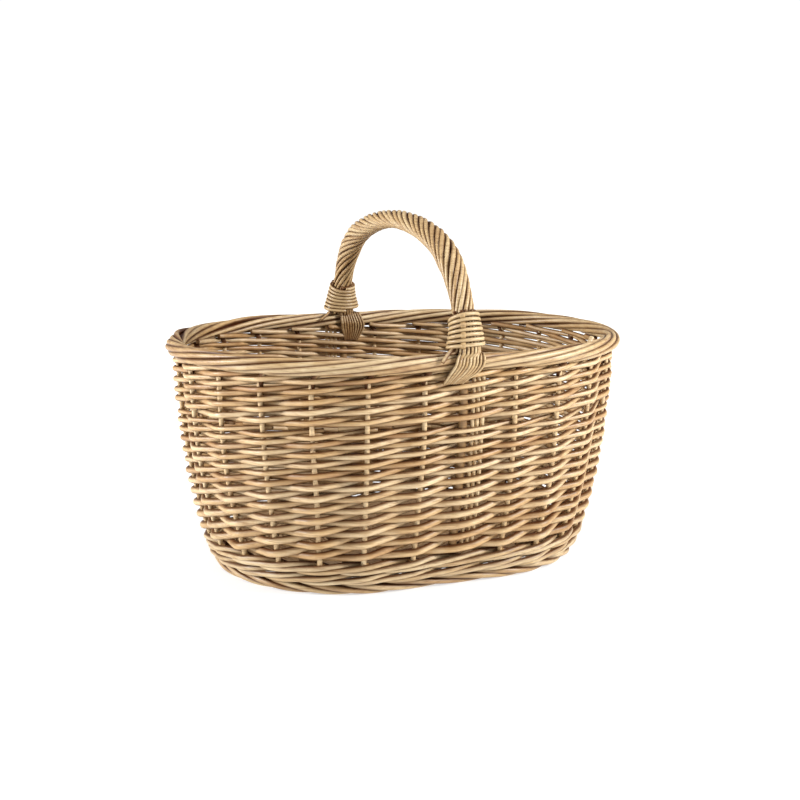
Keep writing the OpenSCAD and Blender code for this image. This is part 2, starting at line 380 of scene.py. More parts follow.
def willow(name, pale, middle, deep, roughness=0.42):
    """Buff willow: every rod has its own tone, with long fine grain, blotches and specks, and painted shade
    in its hollows, which also takes away some of its sheen.
    """
    material = bpy.data.materials.new(name)
    n = Nodes(material)
    tone = n.attribute("tone")
    grain = n.attribute("grain")
    painted_shade = n.attribute("painted_shade")
    place = n.new("TexCoord").outputs["Object"]

    # Fine streaks: quick from course to course, and stretched out along the rod's run
    split = n.new("SeparateXYZ")
    n.link(place, split.inputs[0])
    streak_space = n.new("CombineXYZ")
    level = n.maths("ADD", split.outputs[0], split.outputs[1])
    n.link(n.maths("MULTIPLY", level, 0.08), streak_space.inputs[0])
    n.link(split.outputs[2], streak_space.inputs[1])
    n.link(n.maths("MULTIPLY", grain, 0.06), streak_space.inputs[2])
    streaks = n.noise(streak_space.outputs[0], 900, detail=3, rough=0.6)

    # Long patches: along the run, and different on each rod
    long_space = n.new("CombineXYZ")
    n.link(grain, long_space.inputs[0])
    n.link(n.maths("MULTIPLY", tone, 7.0), long_space.inputs[1])
    along = n.noise(long_space.outputs[0], 22, detail=3)
    blotches = n.noise(place, 60, detail=3, rough=0.6)
    specks = n.noise(place, 900, detail=2)

    base = n.ramp(tone, ((0.0, deep), (0.3, middle), (0.65, pale), (1.0, middle)))
    shift = n.maths("ADD", n.maths("MULTIPLY", along, 0.55), n.maths("MULTIPLY", blotches, 0.45))
    drift = n.ramp(shift, ((0.30, deep), (0.50, middle), (0.70, pale)))
    base = n.mix("MIX", 0.5, base, drift)
    base = n.mix("MULTIPLY", 0.75, base, n.ramp(streaks, STREAK_TONES))
    base = n.mix("MULTIPLY", 0.6, base, n.ramp(specks, SPECK_TONES))
    # Painted shade: the colour is darkened and reddened towards the tint where shade falls
    base = n.mix("MULTIPLY", painted_shade, base, PAINTED_SHADE_TINT)
    n.link(base, n.shader.inputs["Base Color"])

    rough = n.new("MapRange")
    rough.inputs["To Min"].default_value = roughness - 0.12
    rough.inputs["To Max"].default_value = roughness + 0.16
    n.link(streaks, rough.inputs["Value"])
    n.link(rough.outputs[0], n.shader.inputs["Roughness"])
    # The painted shade mask also takes the sheen away, painting out reflections where shade falls
    painted_shade_sheen_loss = n.maths("MULTIPLY", painted_shade, SHEEN - PAINTED_SHADE_SHEEN)
    n.link(n.maths("SUBTRACT", SHEEN, painted_shade_sheen_loss), n.shader.inputs["Specular IOR Level"])
    bump = n.new("Bump")
    bump.inputs["Strength"].default_value = 0.35
    bump.inputs["Distance"].default_value = 0.4 * MM
    n.link(n.maths("ADD", streaks, n.maths("MULTIPLY", specks, 0.5)), bump.inputs["Height"])
    n.link(bump.outputs[0], n.shader.inputs["Normal"])
    return material


SIDING_WILLOW = willow("siding_willow", (0.86, 0.70, 0.44), (0.63, 0.41, 0.18), (0.40, 0.20, 0.07))
BORDER_WILLOW = willow("border_willow", (0.75, 0.61, 0.38), (0.52, 0.34, 0.15), (0.32, 0.16, 0.06))
STAKE_WILLOW = willow("stake_willow", (0.74, 0.53, 0.26), (0.56, 0.36, 0.15), (0.40, 0.22, 0.09))
BASE_WILLOW = willow("base_willow", (0.66, 0.46, 0.25), (0.52, 0.33, 0.16), (0.36, 0.20, 0.09), 0.6)
HANDLE_WILLOW = willow("handle_willow", (0.71, 0.56, 0.32), (0.51, 0.33, 0.14), (0.33, 0.17, 0.06))

# ---- Siding: French randing ----

# In bays: how far a rod's butt and tip reach past their stakes, and how far the liners reach beside the bow
BUTT_LEAD = 0.36
TIP_LEAD = 0.3
LINER_SPREAD = 0.42

# A rod clears a stake by a little more than it has to, and is a little out of its place at each
CORNER_GAIN = 1.03
SIDE_SCATTER = 0.3 * MM
RISE_SCATTER = 0.45 * MM
# A rod gets painted shade where it passes behind a stake, at most this share of the full tint
BEHIND_STAKE_SHADE = 0.35


def wall_rows(u, z, out, *columns):
    """Rows for bent(): place, outward normal, distance out, and more columns."""
    return np.column_stack((wall_rod_points(u, z, out), wall_normals(u, z), out, *columns))


def french_rand(name, seed, z_from, courses, rise, diameter, *nodes):
    """One rod from each station, each one in front of a stake and behind the next, a course higher each time.

    courses is the number of bays that a rod crosses. rise(c) is the height that it has gained in bay c,
    and diameter(c) its thickness there."""
    sheaf = Sheaf(name, seed)
    rng = sheaf.rng
    for station in range(STATIONS):
        crossings = [(-BUTT_LEAD - rng.uniform(0, 0.1), -1)]
        for c in range(courses + 1):
            side = 1 if c % 2 else -1
            crossings.append((stake_place(station + c) - station, side))
            if (station + c) % BACK_FOOT == 0:
                crossings.append((c + LINER_SPREAD, side))
        crossings.append((courses + TIP_LEAD + rng.uniform(-0.1, 0.1), crossings[-1][1]))
        c, side = np.array(crossings).T
        stout = rng.uniform(0.92, 1.08)
        out = side * CORNER_GAIN * (STAKE_D + diameter(c) * stout) / 2 + rng.normal(0, SIDE_SCATTER, len(c))
        z = z_from + rise(c) + rng.normal(0, RISE_SCATTER, len(c))
        rows = bent(wall_rows(station + c, z, out, c))
        thick = diameter(rows[:, 7]) * stout
        # Painted shade on the runs behind the stakes, and on the rods' flanks
        hidden = np.clip(0.5 - rows[:, 6] / (STAKE_D + thick), 0, 1)
        sheaf.rod(rows[:, :3], thick, crown=rows[:, 3:6], two_sided=True, painted_shade=BEHIND_STAKE_SHADE * hidden)
    return sheaf.make(SIDING_WILLOW, "siding", *nodes)


LOWER_COURSES = 22
TIP_COURSES = 3
UPPER_COURSES = 11
LOWER_SWELL = 0.16
UPPER_SWELL = 0.08
TIP_THINNING = 0.28

# A rod is this much thicker than the height that its course rises by
PACKING = 1.14


def course_rise(c, courses, height, swell):
    """Height gained at bay c: the courses are thickest at the rods' butts."""
    share = np.clip(c + 0.5, 0, courses) / courses
    return height * share * (1 + swell * (1 - share))


def lower_diameter(c):
    """A rod tapers from its butt, and runs out quickly at its tip."""
    mean = (LOWER_Z - SIDING_START) / LOWER_COURSES * PACKING
    share = np.clip(c, 0, LOWER_COURSES) / LOWER_COURSES
    tip_share = np.clip((c - LOWER_COURSES) / TIP_COURSES, 0, 1)
    return mean * (1 + LOWER_SWELL * (1 - 2 * share)) * (1 - TIP_THINNING * tip_share)


def lower_rise(c):
    tips = (TIPS_Z - LOWER_Z) * np.clip(c + 0.5 - LOWER_COURSES, 0, TIP_COURSES) / TIP_COURSES
    return course_rise(c, LOWER_COURSES, LOWER_Z - SIDING_START, LOWER_SWELL) + tips


def upper_diameter(c):
    mean = (SIDING_TOP - TIPS_Z) / UPPER_COURSES * PACKING
    return mean * (1 + UPPER_SWELL * (1 - 2 * np.clip(c / UPPER_COURSES, 0, 1)))


def upper_rise(c):
    return course_rise(c, UPPER_COURSES, SIDING_TOP - TIPS_Z, UPPER_SWELL)


def build_siding():
    french_rand("lower_siding", 11, SIDING_START, LOWER_COURSES + TIP_COURSES - 1, lower_rise, lower_diameter,
                "siding_lower", "siding_tips")
    french_rand("upper_siding", 12, TIPS_Z, UPPER_COURSES - 1, upper_rise, upper_diameter, "siding_upper")


# ---- Stakes, and the liners beside the bow's feet ----

STAKE_TAIL_R = 97 * MM
STAKE_TOP_D = 4.4 * MM
STAKE_TONES = (0.4, 0.8)


def build_stakes():
    """Each stake comes out of the base, turns up at the foot and runs up the middle of the weave."""
    sheaf = Sheaf("stakes", 21)
    rng = sheaf.rng
    base_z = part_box("side_stakes")[0].z + STAKE_D / 2
    knee_r = float(wall_point(base_z)[0])
    for station in range(STATIONS):
        if station in (FRONT_FOOT, BACK_FOOT):
            continue
        r, height = wall_point(np.linspace(base_z + 3 * MM, SIDING_Z, 48), 0.5 * MM)
        tail = np.linspace(STAKE_TAIL_R, knee_r - 3 * MM, 6)
        r = np.concatenate((tail, r))
        height = np.concatenate((np.full(len(tail), base_z), height))
        drift = stake_place(station) - station
        outward = smooth_step((r - STAKE_TAIL_R) / (knee_r - STAKE_TAIL_R))
        u = station + drift * outward + wander(rng, height, 0.05, pitch=0.3)
        thick = np.interp(height, (base_z, SIDING_Z), (STAKE_D, STAKE_TOP_D))
        sheaf.rod(ring_point(u, r, height), thick, sides=10, tone=rng.uniform(*STAKE_TONES))
    return sheaf.make(SIDING_WILLOW, "stakes", "side_stakes")


# Distances to the right of the bow
LINERS = (9 * MM, 14 * MM, 19 * MM)
LINER_D = (3.2 * MM, 4.0 * MM)


def build_liners():
    sheaf = Sheaf("handle_liners", 22)
    rng = sheaf.rng
    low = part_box("handle_liners_front")[0]
    for station in (FRONT_FOOT, BACK_FOOT):
        for shift in LINERS:
            z = np.linspace(low.z, RIM_Z - 4 * MM, 40)
            u = station + shift / STAKE_PITCH + wander(rng, z, 0.02, pitch=0.2)
            thick = rng.uniform(*LINER_D)
            sheaf.rod(wall_rod_points(u, z, 0.8 * MM), thick, sides=10, tone=rng.uniform(*STAKE_TONES))
    return sheaf.make(SIDING_WILLOW, "stakes", "handle_liners_front", "handle_liners_back")


# ---- Upsett: two rounds of three-rod wale ----

WALE_RODS = 3
WALE_ROUNDS = 2
WALE_SEAM = 16
WALE_D = 5.4 * MM
WALE_GAIN = 1.05

# What a rod does in each of the three bays of its step: bays past the stake, side of the stakes, and climb
WALE_STEP = (
    ((0, -1, 0.0),),
    ((-0.5, 0.3, -0.95), (0, 1, -0.5)),
    ((0, 1, 0.5), (0.5, 0.3, 0.95)),
)


def build_wale():
    """Each rod passes in front of two stakes and behind one, and climbs over its neighbours as it goes."""
    sheaf = Sheaf("upsett_wale", 31)
    rng = sheaf.rng
    layer = (UPSETT_Z - FOOT_Z) / (2 * WALE_ROUNDS)
    for rod in range(WALE_RODS):
        steps = [(t + lead, side, climb)
                 for t in range(WALE_ROUNDS * STATIONS - rod)
                 for lead, side, climb in WALE_STEP[t % WALE_RODS]]
        t, side, climb = np.array(steps).T
        level = np.floor(t / STATIONS) + smooth_step((np.mod(t, STATIONS) - STATIONS) / WALE_RODS + 1)
        z = FOOT_Z + layer * (1 + 2 * np.clip(level, 0, WALE_ROUNDS - 1) + 0.8 * climb)
        out = side * WALE_GAIN * (STAKE_D + WALE_D) / 2 + rng.normal(0, 0.25 * MM, len(t))
        z = z + rng.normal(0, 0.3 * MM, len(t))
        u = WALE_SEAM + rod + t
        u = np.where(t == np.round(t), stake_place(u.astype(int)), u + STAKE_DRIFT[1])
        rows = bent(wall_rows(u, z, out, t))
        thick = WALE_D * (1 + wander(rng, rows[:, 7], 0.1, pitch=9.0))
        # Painted shade on the runs behind the stakes, and on the rods' flanks
        hidden = np.clip(0.5 - rows[:, 6] / (STAKE_D + thick), 0, 1)
        sheaf.rod(rows[:, :3], thick, crown=rows[:, 3:6], two_sided=True, painted_shade=BEHIND_STAKE_SHADE * hidden,
                  tone=rng.uniform(*STAKE_TONES))
    return sheaf.make(BORDER_WILLOW, "border", "upsett_wale_lower", "upsett_wale_upper")


# ---- Rim: a rolled border ----

# A rod turns round the border by RIM_LAY in each bay, and lies in it for RIM_RUN bays. RIM_TAPER is the bays
# before its tip in which it thins out.
RIM_LAY = math.radians(48)
RIM_START = math.radians(-100)
RIM_RUN = 7.6
RIM_TAPER = 1.2
RIM_ROD_D = (5.9 * MM, 4.7 * MM, 3.6 * MM)
RIM_SQUASH = 0.88
RIM_CENTRE_Z = RIM_HIGH.z - RIM_SQUASH * RIM_D / 2
CUT_END_PLACE = 3.42
CUT_END_D = 5 * MM


def roll_point(u, turn, reach, centre_r, centre_z, squash=1.0):
    return ring_point(u, centre_r + reach * np.cos(turn), centre_z + reach * squash * np.sin(turn))


def cut_end():
    """The cut end of a rod that stands up against the inside of the border."""
    u = CUT_END_PLACE + np.array((0, 0.13, 0.28))
    r = RIM_R - np.array((12, 14, 13)) * MM
    z = RIM_Z + np.array((-8, 0, 8)) * MM
    return spline(ring_point(u, r, z))


def build_rim():
    """At each station a rod bends to the right, rolls once round the border and is tucked in below it."""
    sheaf = Sheaf("rolled_rim_border", 41)
    rng = sheaf.rng
    for station in range(STATIONS):
        run = RIM_RUN + rng.uniform(-0.12, 0.1)
        t = np.linspace(0.1, run, 80)
        thick = np.interp(t, (0, run - RIM_TAPER, run), RIM_ROD_D) * rng.uniform(0.92, 1.08)
        turn = RIM_START + RIM_LAY * t + rng.uniform(-0.08, 0.08) + wander(rng, t, 0.22, pitch=8.0)
        reach = (RIM_D - thick) / 2 + wander(rng, t, 1.6 * MM, pitch=6.0) + rng.uniform(-1.4, 0.2) * MM
        u = stake_place(station) + t
        path = roll_point(u, turn, reach, RIM_R, RIM_CENTRE_Z, RIM_SQUASH)
        # The crown points away from the border's middle, for the painted shade on the rods' flanks
        crown = unit(path - ring_point(u, RIM_R, RIM_CENTRE_Z))
        stem = wall_rod_points(stake_place(station), SIDING_Z + np.array((-9, -4)) * MM, 0)
        path = np.vstack((stem, path))
        crown = np.vstack((crown[:1], crown[:1], crown))
        sheaf.rod(path, np.concatenate((thick[:1] * 0.8, thick[:1] * 0.9, thick)), crown=crown, sides=14)
    # A core rod painted in full shade, which shows dark in the gaps between the rolled rods
    core = np.arange(0, STATIONS + 0.2, 0.2)
    sheaf.rod(ring_point(core, RIM_R, RIM_CENTRE_Z), RIM_D * 0.45, sides=10, painted_shade=1.0, scars=False)
    sheaf.rod(cut_end(), CUT_END_D, tone=0.65, scars=False)
    return sheaf.make(BORDER_WILLOW, "border", "rim_border")


# ---- Foot: a rolled border to stand on ----

# A rod starts FOOT_LEAD bays past its station, and turns under the border by FOOT_LAY in each bay
FOOT_LAY = math.radians(-92)
FOOT_START = math.radians(112)
FOOT_RUN = 2.7
FOOT_ROD_D = 6.2 * MM
FOOT_REACH = 4.2 * MM
FOOT_LEAD = 0.25


def build_foot():
    """At each station a rod comes down out of the wale, bends to the right and passes under the next ones."""
    sheaf = Sheaf("foot_border_roll", 51)
    rng = sheaf.rng
    centre_z = FOOT_Z / 2
    centre_r = float(wall_point(centre_z)[0])
    for station in range(STATIONS):
        t = np.linspace(0, FOOT_RUN, 36)
        thick = np.interp(t, (0, FOOT_RUN), (FOOT_ROD_D, FOOT_ROD_D * 0.8)) * rng.uniform(0.93, 1.05)
        turn = FOOT_START + FOOT_LAY * t + rng.uniform(-0.1, 0.1)
        squash = (FOOT_Z - thick) / 2 / FOOT_REACH
        u = stake_place(station) + FOOT_LEAD + t
        path = roll_point(u, turn, FOOT_REACH, centre_r, centre_z, squash)
        # The crown points away from the roll's middle, for the painted shade on the rods' flanks
        crown = unit(path - ring_point(u, centre_r - 2 * MM, centre_z))
        path[:, 2] += np.interp(t, (0, 0.5), (2.5 * MM, 0))
        path[:, 2] = np.maximum(path[:, 2], thick / 2)
        sheaf.rod(path, thick, crown=crown, sides=14, scars=False)
    # A core rod painted in full shade, which shows dark between the rolled rods
    core = np.arange(0, STATIONS + 0.2, 0.2)
    sheaf.rod(ring_point(core, centre_r, centre_z), FOOT_ROD_D * 0.7, sides=8, painted_shade=1.0, scars=False)
    return sheaf.make(BORDER_WILLOW, "border", "foot_border")


# ---- Handle: a bow with thin rods roped round it ----

BOW_LOW, BOW_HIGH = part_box("handle_bow")
BOW_D = BOW_HIGH.x - BOW_LOW.x
BOW_TOP = BOW_HIGH.z - BOW_D / 2
ROPE_ROD_D = 4.2 * MM
ROPE_RODS = 12
ROPE_TURN_LENGTH = 148 * MM
ROPE_R = (BOW_D + ROPE_ROD_D) / 2
ROPE_START = 9 * MM

# The rods press into the bow by ROPE_SINK. Past the bindings the rope swells, over a run of ROPE_SWELL_RUN.
ROPE_SINK = 0.5 * MM
ROPE_SWELL = 1.5 * MM
ROPE_THICKENING = 0.14
ROPE_SWELL_RUN = 60 * MM

# The share of its height that the handle loses at the top, and how far the bow sways to each side
CREST_FLAT = 0.3
BOW_SWAY = 2.6 * MM
BOW_LEG_D = 8 * MM

# The bow is two side arcs that start upright over the rim, and a flatter arc between them
SIDE_ARC_R = 110 * MM
SIDE_ARC_Y = RIM_R - SIDE_ARC_R
ARCH_STEP = BOW_TOP - RIM_Z - SIDE_ARC_R
ARCH_DROP = (SIDE_ARC_Y**2 - ARCH_STEP**2) / (2 * ARCH_STEP)
TOP_ARC_R = SIDE_ARC_R + ARCH_STEP + ARCH_DROP
JOINT_ANGLE = math.atan2(ARCH_DROP, SIDE_ARC_Y)
SIDE_RUN = SIDE_ARC_R * JOINT_ANGLE
TOP_RUN = TOP_ARC_R * (math.pi - 2 * JOINT_ANGLE)
ARCH_RUN = 2 * SIDE_RUN + TOP_RUN
ALONG = np.array([1.0, 0.0, 0.0])

# Distances along the bow from its foot, at the rim's middle
BINDING_LOW = 14 * MM
BINDING_TURNS = 7
BINDING_PITCH = 4.1 * MM
BINDING_D = 3.9 * MM
BINDING_TOP = BINDING_LOW + BINDING_TURNS * BINDING_PITCH
BINDING_SINK = 0.3 * MM
BINDING_R = ROPE_R + (ROPE_ROD_D + BINDING_D) / 2 - BINDING_SINK


def arch(run):
    """Centre line and outward normal of the bow, at a distance along it from its front foot."""
    run = np.atleast_1d(np.asarray(run, float))
    front = run < SIDE_RUN
    back = run > SIDE_RUN + TOP_RUN
    angle = np.where(front, run / SIDE_ARC_R,
                     np.where(back, math.pi - (ARCH_RUN - run) / SIDE_ARC_R,
                              JOINT_ANGLE + (run - SIDE_RUN) / TOP_ARC_R))
    radius = np.where(front | back, SIDE_ARC_R, TOP_ARC_R)
    centre_y = np.where(front, -SIDE_ARC_Y, np.where(back, SIDE_ARC_Y, 0.0))
    centre_z = np.where(front | back, RIM_Z, RIM_Z - ARCH_DROP)
    normal = np.stack((0 * run, -np.cos(angle), np.sin(angle)), axis=-1)
    sway = BOW_SWAY * np.sin(2 * math.pi * run / ARCH_RUN)
    centre = np.stack((sway, centre_y, centre_z), axis=-1) + normal * radius[:, None]
    return centre, normal


def crest(run):
    """The share of its height that the bow's section keeps at a place along it: least at the top."""
    return 1 - CREST_FLAT * np.sin(math.pi * run / ARCH_RUN) ** 4


def round_bow(run, turn, out, side=None):
    """Points round the bow, and their crowns. turn is 0 on its outer side and a quarter turn at +X."""
    side = out if side is None else side
    centre, normal = arch(run)
    offset = normal * (np.cos(turn) * out)[:, None] + ALONG * (np.sin(turn) * side)[:, None]
    return centre + offset, unit(offset)


def build_bow():
    """The thick rod inside the handle, with its legs driven down into the weave."""
    sheaf = Sheaf("bow", 60)
    leg = wall_rod_points(FRONT_FOOT, np.linspace(BOW_LOW.z, RIM_Z - 6 * MM, 24), 0)
    leg_thick = np.full(len(leg), BOW_LEG_D)
    run = np.linspace(0, ARCH_RUN, 90)
    centre = arch(run)[0]
    path = np.vstack((leg, centre, leg[::-1] * (-1, -1, 1)))
    thick = np.concatenate((leg_thick, BOW_D * crest(run), leg_thick))
    # The bow is painted half in shade, where it lies under the rope
    sheaf.rod(path, thick, sides=16, painted_shade=0.5, tone=0.2)
    return sheaf.make(STAKE_WILLOW, "handle", "handle_bow")


def build_rope():
    """Thin rods wound together round the bow, a little looser between the bindings than in them."""
    sheaf = Sheaf("handle_rope", 61)
    rng = sheaf.rng
    for rod in range(ROPE_RODS):
        run = np.linspace(ROPE_START, ARCH_RUN - ROPE_START, 150)
        turn = 2 * math.pi * (run / ROPE_TURN_LENGTH + rod / ROPE_RODS) + wander(rng, run, 0.14, pitch=0.2)
        swell = smooth_step((np.minimum(run, ARCH_RUN - run) - BINDING_TOP) / ROPE_SWELL_RUN)
        thick = ROPE_ROD_D * rng.uniform(0.9, 1.06) * (1 + ROPE_THICKENING * swell)
        reach = ROPE_R - ROPE_SINK + ROPE_SWELL * swell + wander(rng, run, 0.5 * MM, pitch=0.1)
        path, crown = round_bow(run, turn, reach * crest(run), reach)
        # The rope's rods get painted shade on their flanks, away from the crown
        sheaf.rod(path, thick, crown=crown, tone=rng.uniform(0.2, 1.0))
    return sheaf.make(HANDLE_WILLOW, "handle", "handle_rope_rods")


# ---- Bindings at the feet of the handle ----

# How much wider the binding is at its foot: away from the bow's arch, and to each side of it
BINDING_SPREAD = 1.6 * MM
BINDING_FLARE = {"front": 4.2 * MM, "back": 6.6 * MM}

# The listing's place round the bow from its outer side, its section, and its rise over a turn of the binding
LISTING_TURN = math.radians(30)
LISTING_W = 4.4 * MM
LISTING_FLAT = 0.36
LISTING_LIFT = 0.62 * BINDING_D


def foot_run(foot, distance):
    """Distance along the bow of a place a distance up from one foot."""
    return distance if foot == "front" else ARCH_RUN - distance


def foot_hand(foot):
    """+1 at the front foot and -1 at the back one: the two feet are half a turn apart."""
    return 1 if foot == "front" else -1


def binding_radii(foot, t):
    """The binding spreads towards its foot, over the laced rods."""
    spread = 1 - np.clip(t / BINDING_TURNS, 0, 1)
    return BINDING_R + BINDING_SPREAD * spread, BINDING_R + BINDING_FLARE[foot] * spread**1.5


def binding_run(foot, t):
    """Distance along the bow of the binding's turn t, counted from its foot."""
    return foot_run(foot, BINDING_LOW + t * BINDING_PITCH)


def build_binding(foot, seed):
    sheaf = Sheaf("binding_" + foot, seed)
    t = np.linspace(0, BINDING_TURNS, BINDING_TURNS * 36)
    out, side = binding_radii(foot, t)
    path, crown = round_bow(binding_run(foot, t), 2 * math.pi * t + math.pi, out, side)
    thick = BINDING_D * (1 + wander(sheaf.rng, t, 0.12, pitch=1.3))
    sheaf.rod(path, thick, crown=crown, tone=0.62)
    return sheaf.make(HANDLE_WILLOW, "handle", "handle_binding_" + foot)


def build_listing(foot, seed):
    """The flat strip that the binding is worked round: over one turn of it and under the next."""
    sheaf = Sheaf("listing_" + foot, seed)
    t = np.linspace(-0.1, BINDING_TURNS - 0.4, 90)
    out, side = binding_radii(foot, t)
    place = -foot_hand(foot) * LISTING_TURN
    first_over = place / (2 * math.pi) + 0.5
    lift = LISTING_LIFT * np.cos(math.pi * (t - first_over))
    turn = np.full(len(t), place)
    path, crown = round_bow(binding_run(foot, t), turn, out + lift, side + lift)
    # A touch of painted shade over the listing
    sheaf.rod(path, LISTING_W, flat=LISTING_FLAT, painted_shade=0.05, tone=0.45, flat_normal=crown)
    return sheaf.make(HANDLE_WILLOW, "handle", "handle_listing_" + foot)


# ---- Laced ends ----

LACING_RODS = 9
LACING_D = 3.3 * MM
LACING_LIFT = (RIM_D + LACING_D) / 2

# The upper run of a laced rod, under the binding: distance along the bow and how far it lies off the rope.
# The first place is the cut end, a little above the binding.
NECK = (
    (BINDING_TOP, 2.4 * MM),
    (BINDING_TOP - 4 * MM, 1.6 * MM),
    (BINDING_LOW + 8 * MM, 2.7 * MM),
    (BINDING_LOW - 4 * MM, 3.6 * MM),
)

# The lower run of the first and last rod of a lacing: the place of each along the border in mm, the turn
# round it in degrees (0 outside, 90 on top, 180 inside), and how far each lies off it in mm. The outer rods
# sweep back over the outside of the border and end under it, and the inner ones go down into the weave.
ROUTES = {
    "outer": (
        (-12, 12, 32, 1.0, 2.5),
        (-15, 11, 0, 1.4, 1.4),
        (-19, 6, -34, 1.2, 1.2),
        (-21, -1, -56, 2.8, 2.8),
        (-22, -5, -78, 5.5, 5.5),
    ),
    "inner": (
        (4, -16, 145, 2.0, 2.0),
        (4, -20, 186, 2.0, 2.0),
        (3, -21, 212, 2.2, 2.2),
        (1, -19, 232, 5.0, 5.0),
        (-1, -15, 252, 11.0, 11.0),
    ),
}

# Turns round the bow of the first and last rod, in degrees, how far the cut ends may show, and their painted
# shade, darker on the inner rods that go down into the weave
NECK_TURNS = {"outer": (-48, 82), "inner": (160, 290)}
STUB = {"outer": 2 * MM, "inner": 3 * MM}
LACING_PAINTED_SHADE = {"outer": 0.0, "inner": 0.35}

# One more rod at each foot ends short, on the border: place along it, turn round it and lift off it
LOOSE_ENDS = {
    "front": ((-12, 80, 4.0), (-20, 55, 1.5), (-27, 20, 0.8)),
    "back": ((12, 105, 4.0), (19, 135, 2.0), (28, 165, 1.2)),
}


def rim_place(foot, x, turn, lift):
    """A point by the rim's section under the handle, from a place and a lift in mm and a turn in degrees."""
    hand = foot_hand(foot)
    turn = math.radians(turn)
    lift = LACING_LIFT + lift * MM
    return (hand * x * MM, -hand * (RIM_R + lift * math.cos(turn)), RIM_Z + lift * math.sin(turn))


def lacing_neck(foot, turn, stub):
    """The upper run of a laced rod, whose cut end shows by stub above the binding."""
    turn = np.array([foot_hand(foot) * math.radians(turn)])
    places = []
    for distance, lift in NECK:
        places.append(round_bow(foot_run(foot, distance + stub), turn, np.array([ROPE_R + lift]))[0][0])
        stub = 0
    return places


def lace(sheaf, foot, places, painted_shade):
    """A laced rod, whose crown points away from the bow's foot and the border under it, for the painted shade
    on its flanks.
    """
    path = spline(places)
    core = path * (0.6, 0, 0) + (0, -foot_hand(foot) * RIM_R, 0)
    core[:, 2] = np.maximum(path[:, 2] - 4 * MM, RIM_Z)
    thick = LACING_D * sheaf.rng.uniform(0.9, 1.1)
    sheaf.rod(path, thick, crown=unit(path - core), sides=10, painted_shade=painted_shade, scars=False)


def build_lacing(foot, side, seed):
    sheaf = Sheaf("laced_ends_" + side + "_" + foot, seed)
    first_turn, last_turn = NECK_TURNS[side]
    for share in np.linspace(0, 1, LACING_RODS):
        turn = first_turn + (last_turn - first_turn) * share
        places = lacing_neck(foot, turn, sheaf.rng.uniform(0, STUB[side]))
        for first_x, last_x, rim_turn, first_lift, last_lift in ROUTES[side]:
            x = first_x + (last_x - first_x) * share
            lift = first_lift + (last_lift - first_lift) * share
            places.append(rim_place(foot, x, rim_turn, lift))
        lace(sheaf, foot, places, LACING_PAINTED_SHADE[side])
    if side == "outer":
        lace(sheaf, foot, [rim_place(foot, *place) for place in LOOSE_ENDS[foot]], 0.0)
    return sheaf.make(HANDLE_WILLOW, "handle", "lacing_" + foot + "_" + side)


def build_handle():
    build_bow()
    build_rope()
    for k, foot in enumerate(("front", "back")):
        build_binding(foot, 71 + k)
        build_listing(foot, 73 + k)
        build_lacing(foot, "outer", 75 + k)
        build_lacing(foot, "inner", 77 + k)


# ---- Base ----

BASE_LOW, BASE_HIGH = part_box("base_weave")
BASE_Z = (BASE_LOW.z + BASE_HIGH.z) / 2
BASE_EDGE_R = BASE_HIGH.y
CORE_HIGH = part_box("base_core_binding")[1]
SHORT_STICKS = 6
LONG_STICKS = 4
SHORT_STICK_D = 7.2 * MM
LONG_STICK_D = 5.4 * MM
STICK_REACH = BASE_EDGE_R - 4 * MM

# Pairing: the width of one round, how far the last one is pressed out against the wale, how far a strand goes
# up and down and in and out, as a share of a round, and the step between its points
BASE_ROW = 4.7 * MM
BASE_SPREAD = 3 * MM
BASE_LIFT = BASE_HIGH.z - BASE_Z - 0.6 * MM
BASE_SWING = 0.22
BASE_STEP = 5.5 * MM
BASE_WEAVER_D = 3.9 * MM

# The long sticks are closer than their node is wide, and bend into their fan at a share of their reach
LONG_STICK_SPACING = 0.85
LONG_STICK_BEND = 0.36
CORE_ROUNDS = 6
CORE_ROD_D = 4.2 * MM
CORE_LIFT = 5.2 * MM


def base_ring(run):
    """Spine place and direction, by a run of 4 round the stadium: side, end, side, end."""
    s = np.mod(run, 4)
    x = np.interp(s, (0, 1, 2, 3, 4), (-END_X, END_X, END_X, -END_X, -END_X))
    half_turns = np.interp(s, (0, 1, 2, 3, 4), (0, 0, 1, 1, 2))
    return x, half_turns * math.pi - math.pi / 2


def base_points(run, r):
    """Points in the middle of the base's thickness, at distance r from the spine."""
    x, angle = base_ring(run)
    return np.stack((x + r * np.cos(angle), r * np.sin(angle), np.full(len(x), BASE_Z)), axis=-1)


def build_base_weave():
    """Pairing: two rods that cross between the ribs, round after round."""
    sheaf = Sheaf("base_pairing", 81)
    rng = sheaf.rng
    ribs = (SHORT_STICKS - 1, LONG_STICKS + 1) * 2
    knots = [side + np.arange(count) / count for side, count in enumerate(ribs)]
    knots = np.concatenate(knots + [[len(ribs)]])
    total = sum(ribs)
    width = BASE_EDGE_R + BASE_SPREAD - CORE_HIGH.y
    rounds = round(width / BASE_ROW)
    row = width / rounds
    for k in range(rounds):
        r = CORE_HIGH.y + (k + 0.5) * row
        rib = np.linspace(0, total, int((4 * END_X + 2 * math.pi * r) / BASE_STEP))
        run = np.interp(np.mod(rib, total), np.arange(total + 1), knots)
        for strand in range(2):
            phase = math.pi * (rib + strand + k)
            thick = BASE_WEAVER_D * rng.uniform(0.92, 1.05)
            near = r + row * BASE_SWING * np.sin(phase) + wander(rng, rib, 0.5 * MM, pitch=4.0)
            path = base_points(run, near) + np.outer(np.cos(phase), (0, 0, BASE_LIFT))
            # Each pairing rod is darkened by a little painted shade, a different share on each rod
            sheaf.rod(path, thick, sides=8, scars=False, painted_shade=0.1 + 0.2 * rng.uniform())
    return sheaf.make(BASE_WILLOW, "base", "base_weave")


